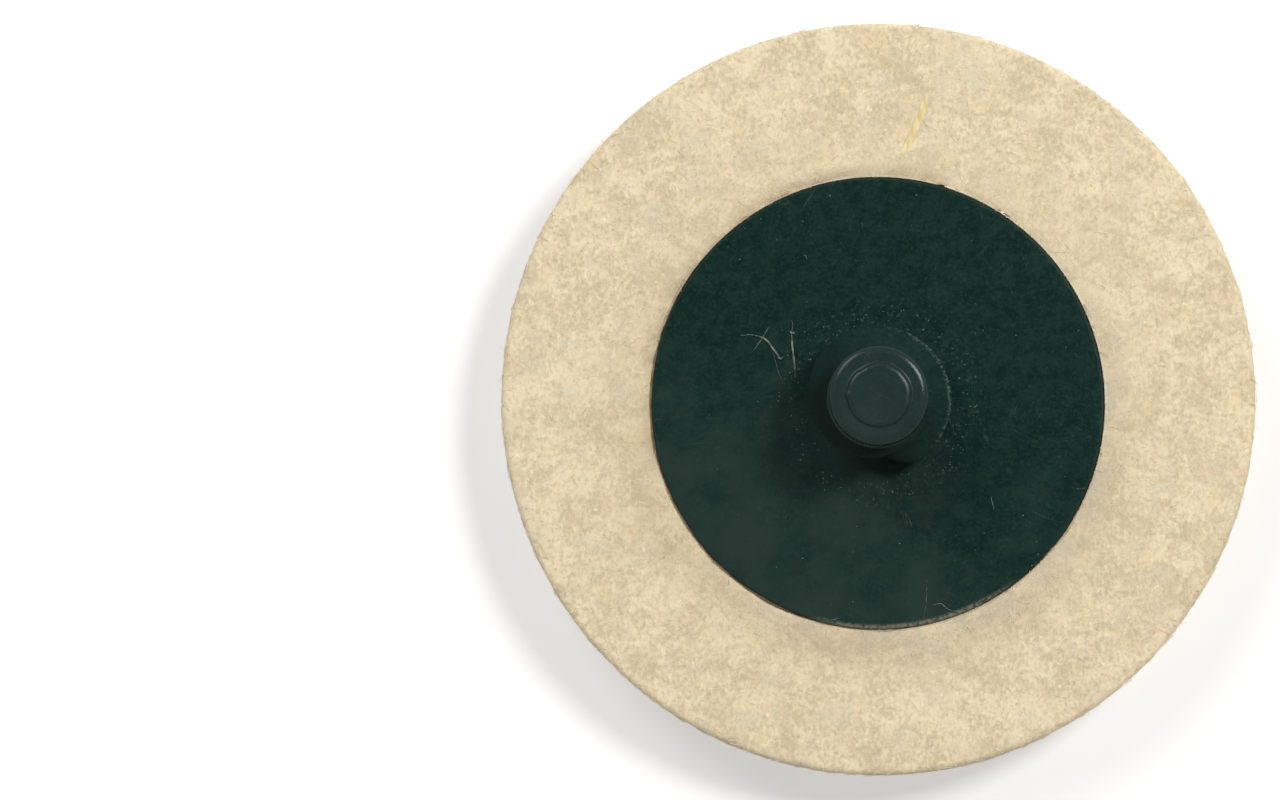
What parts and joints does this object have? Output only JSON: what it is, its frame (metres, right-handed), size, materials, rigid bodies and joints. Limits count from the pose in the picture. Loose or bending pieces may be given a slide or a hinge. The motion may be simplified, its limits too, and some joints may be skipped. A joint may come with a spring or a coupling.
{
  "type": "felt polishing disc",
  "caption": "Round pressed-wool felt polishing disc with a moulded plastic flange on its back and a coarse-threaded stud that twists into a quick-change holder.",
  "frame": {"origin": "centre of the felt's working face, on the surface the disc lies on", "axes": "+Z along the disc's axis, from the working face out through the threaded stud; X and Y are any two directions across the disc"},
  "size_m": [0.05, 0.05, 0.0148],
  "materials": {
    "wool_felt": "matte",
    "hot_melt_adhesive": "satin",
    "green_nylon": "satin"
  },
  "bodies": {
    "root": {"felt_disc": "wool_felt", "adhesive_layer": "hot_melt_adhesive", "threaded_hub": "green_nylon"}
  },
  "joints": []
}
